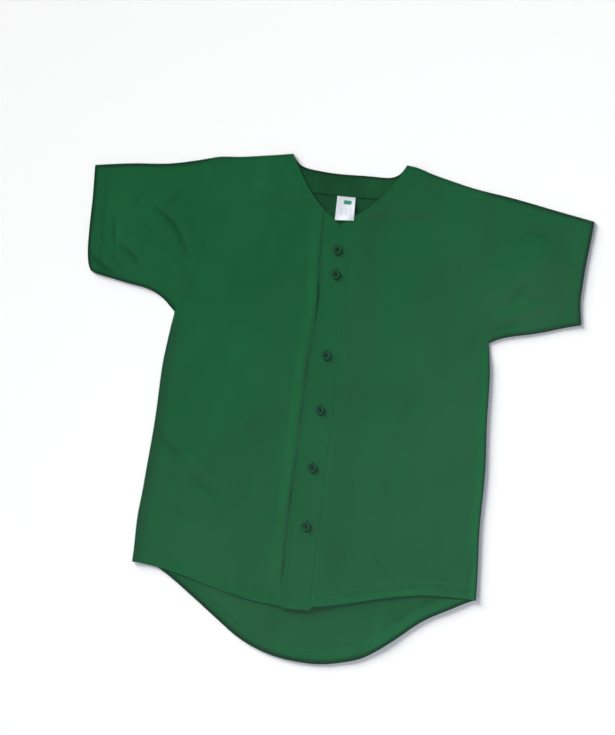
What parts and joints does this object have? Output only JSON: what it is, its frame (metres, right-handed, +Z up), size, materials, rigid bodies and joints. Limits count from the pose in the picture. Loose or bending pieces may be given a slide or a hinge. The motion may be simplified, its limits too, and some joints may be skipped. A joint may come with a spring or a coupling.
{
  "type": "baseball jersey",
  "caption": "Short-sleeved baseball jersey with a V neck, a buttoned front and a long curved tail, laid flat on its back.",
  "frame": {"origin": "middle of the jersey's outline, on the surface that it lies on", "axes": "+X towards the wearer's left, +Y from the hem to the neck, +Z up out of the front"},
  "size_m": [0.8596, 0.8658, 0.0081],
  "materials": {
    "jersey_cloth": "matt knitted jersey, dyed green",
    "facing_cloth": "matt knitted jersey, dyed green",
    "label_satin": "woven satin",
    "button_resin": "polished cast resin, dyed to match"
  },
  "bodies": {
    "root": {"back_panel": "jersey_cloth", "front_right_panel": "jersey_cloth", "front_left_panel": "jersey_cloth", "placket_right": "jersey_cloth", "placket_left": "jersey_cloth", "sleeve_right": "jersey_cloth", "sleeve_left": "jersey_cloth", "back_neck_facing": "facing_cloth", "neck_label": "label_satin", "button_1": "button_resin", "button_2": "button_resin", "button_3": "button_resin", "button_4": "button_resin", "button_5": "button_resin", "button_6": "button_resin"}
  },
  "joints": []
}
